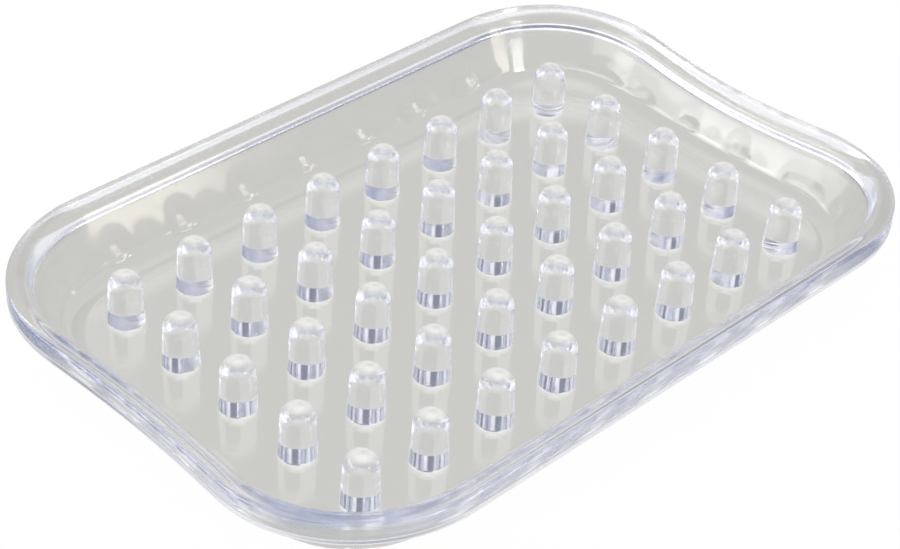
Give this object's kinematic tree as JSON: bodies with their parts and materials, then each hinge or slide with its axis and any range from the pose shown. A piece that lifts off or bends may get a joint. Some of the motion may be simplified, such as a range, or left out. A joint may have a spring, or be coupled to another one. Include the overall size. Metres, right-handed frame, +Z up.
{
  "type": "soap and sponge tray",
  "caption": "Clear plastic soap and sponge tray: a shallow rounded dish with a thick rim and a grid of round-topped pegs that lift the soap off the floor so it drains and dries.",
  "frame": {"origin": "middle of the flat underside, at the level the tray rests on", "axes": "+X along the tray's length, +Y across it, +Z up out of its open top"},
  "size_m": [0.1398, 0.094, 0.0137],
  "materials": {
    "clear_plastic": "clear, polished, with a faint blue tint where it is thick"
  },
  "bodies": {
    "root": {"floor_plate": "clear_plastic", "side_wall": "clear_plastic", "rim": "clear_plastic", "peg_row1_column1": "clear_plastic", "peg_row1_column2": "clear_plastic", "peg_row1_column3": "clear_plastic", "peg_row1_column4": "clear_plastic", "peg_row1_column5": "clear_plastic", "peg_row1_column6": "clear_plastic", "peg_row1_column7": "clear_plastic", "peg_row1_column8": "clear_plastic", "peg_row2_column1": "clear_plastic", "peg_row2_column2": "clear_plastic", "peg_row2_column3": "clear_plastic", "peg_row2_column4": "clear_plastic", "peg_row2_column5": "clear_plastic", "peg_row2_column6": "clear_plastic", "peg_row2_column7": "clear_plastic", "peg_row2_column8": "clear_plastic", "peg_row3_column1": "clear_plastic", "peg_row3_column2": "clear_plastic", "peg_row3_column3": "clear_plastic", "peg_row3_column4": "clear_plastic", "peg_row3_column5": "clear_plastic", "peg_row3_column6": "clear_plastic", "peg_row3_column7": "clear_plastic", "peg_row3_column8": "clear_plastic", "peg_row4_column1": "clear_plastic", "peg_row4_column2": "clear_plastic", "peg_row4_column3": "clear_plastic", "peg_row4_column4": "clear_plastic", "peg_row4_column5": "clear_plastic", "peg_row4_column6": "clear_plastic", "peg_row4_column7": "clear_plastic", "peg_row4_column8": "clear_plastic", "peg_row5_column1": "clear_plastic", "peg_row5_column2": "clear_plastic", "peg_row5_column3": "clear_plastic", "peg_row5_column4": "clear_plastic", "peg_row5_column5": "clear_plastic", "peg_row5_column6": "clear_plastic", "peg_row5_column7": "clear_plastic", "peg_row5_column8": "clear_plastic"}
  },
  "joints": []
}
